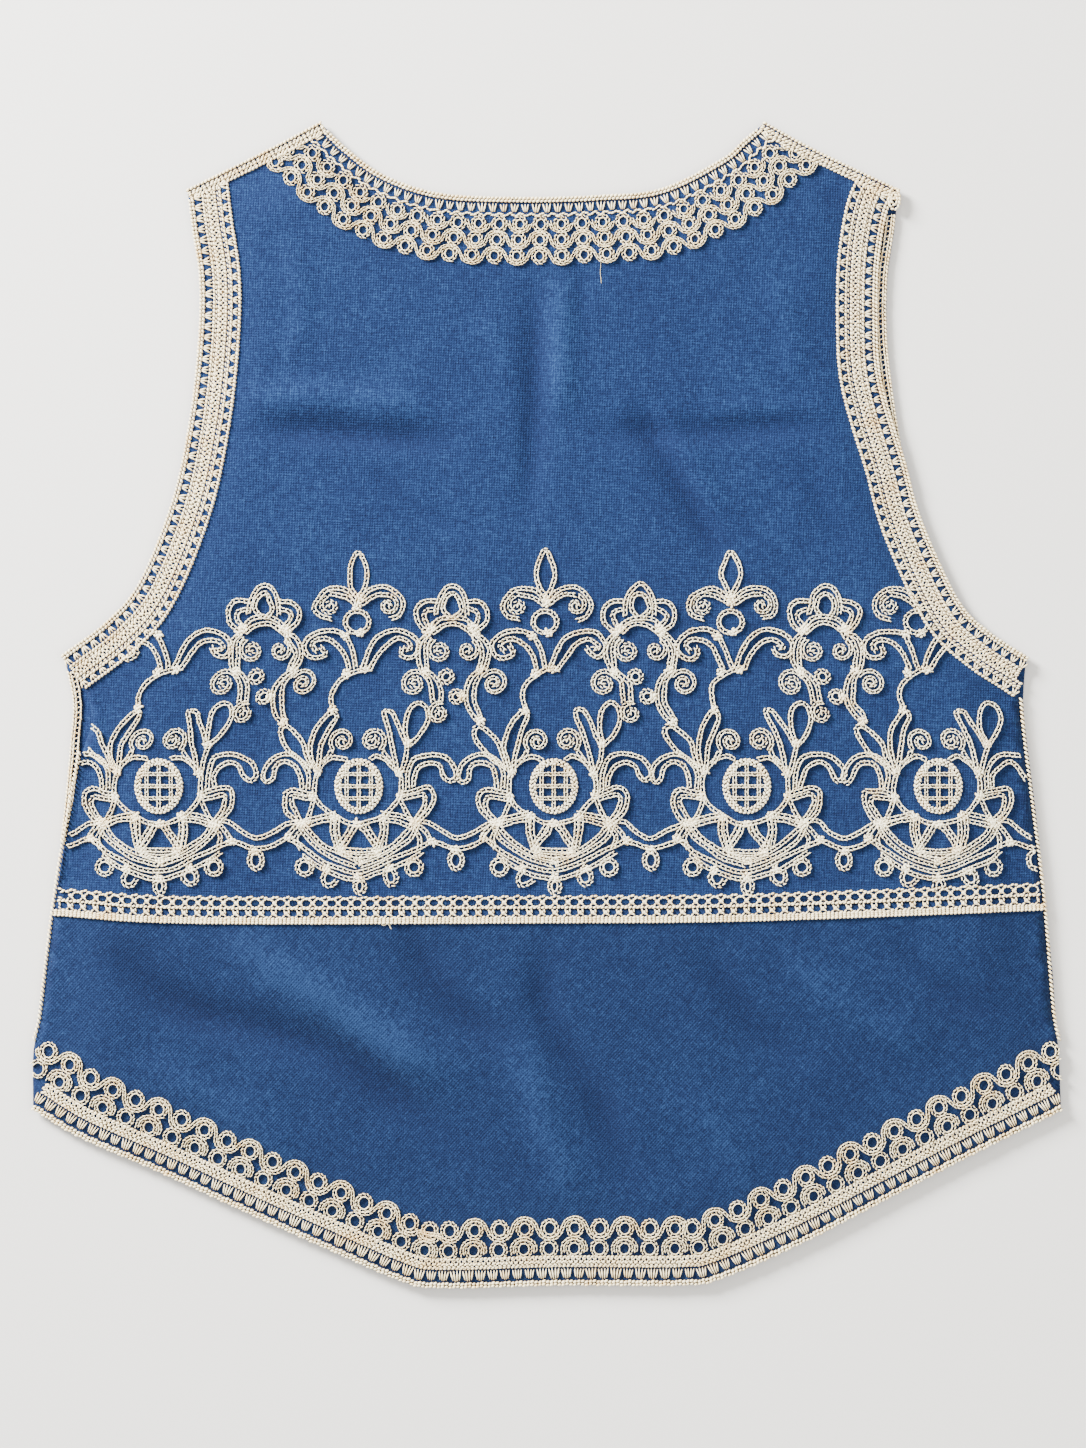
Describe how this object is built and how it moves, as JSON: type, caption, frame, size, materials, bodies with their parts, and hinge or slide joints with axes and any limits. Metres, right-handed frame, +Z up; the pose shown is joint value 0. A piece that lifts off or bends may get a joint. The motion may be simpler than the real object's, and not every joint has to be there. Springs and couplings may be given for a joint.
{
  "type": "sleeveless folk vest laid flat",
  "caption": "Sleeveless linen folk vest laid flat on its fronts, with braid lace at neck, armholes, waist and hem and a braid frieze across the back.",
  "frame": {"origin": "middle of the bounding box, on the surface that the vest lies on", "axes": "+Z up off the surface, +Y from hem to neck, +X to the wearer's right, seen from the back"},
  "size_m": [0.493, 0.5588, 0.0067],
  "materials": {
    "linen": "blue plain-weave linen, soft and matt",
    "edge_lace": "cream cotton braid lace, matt",
    "frieze_braid": "cream cotton lacet braid, matt",
    "cord": "cream twisted cotton cord, matt"
  },
  "bodies": {
    "root": {"back_bodice": "linen", "back_skirt": "linen", "front_left": "linen", "front_right": "linen", "neck_lace": "edge_lace", "armhole_lace_left": "edge_lace", "armhole_lace_right": "edge_lace", "waist_lace": "edge_lace", "hem_lace": "edge_lace", "shoulder_tape_left": "edge_lace", "shoulder_tape_right": "edge_lace", "front_lace_left": "edge_lace", "front_lace_right": "edge_lace", "side_cord_left": "cord", "side_cord_right": "cord", "medallion_1": "frieze_braid", "medallion_2": "frieze_braid", "medallion_3": "frieze_braid", "medallion_4": "frieze_braid", "medallion_5": "frieze_braid", "swag_0": "frieze_braid", "swag_1": "frieze_braid", "swag_2": "frieze_braid", "swag_3": "frieze_braid", "swag_4": "frieze_braid", "swag_5": "frieze_braid", "crown_1": "frieze_braid", "crown_2": "frieze_braid", "crown_3": "frieze_braid", "crown_4": "frieze_braid", "fleur_1": "frieze_braid", "fleur_2": "frieze_braid", "fleur_3": "frieze_braid", "fleur_4": "frieze_braid", "fleur_5": "frieze_braid"}
  },
  "joints": []
}
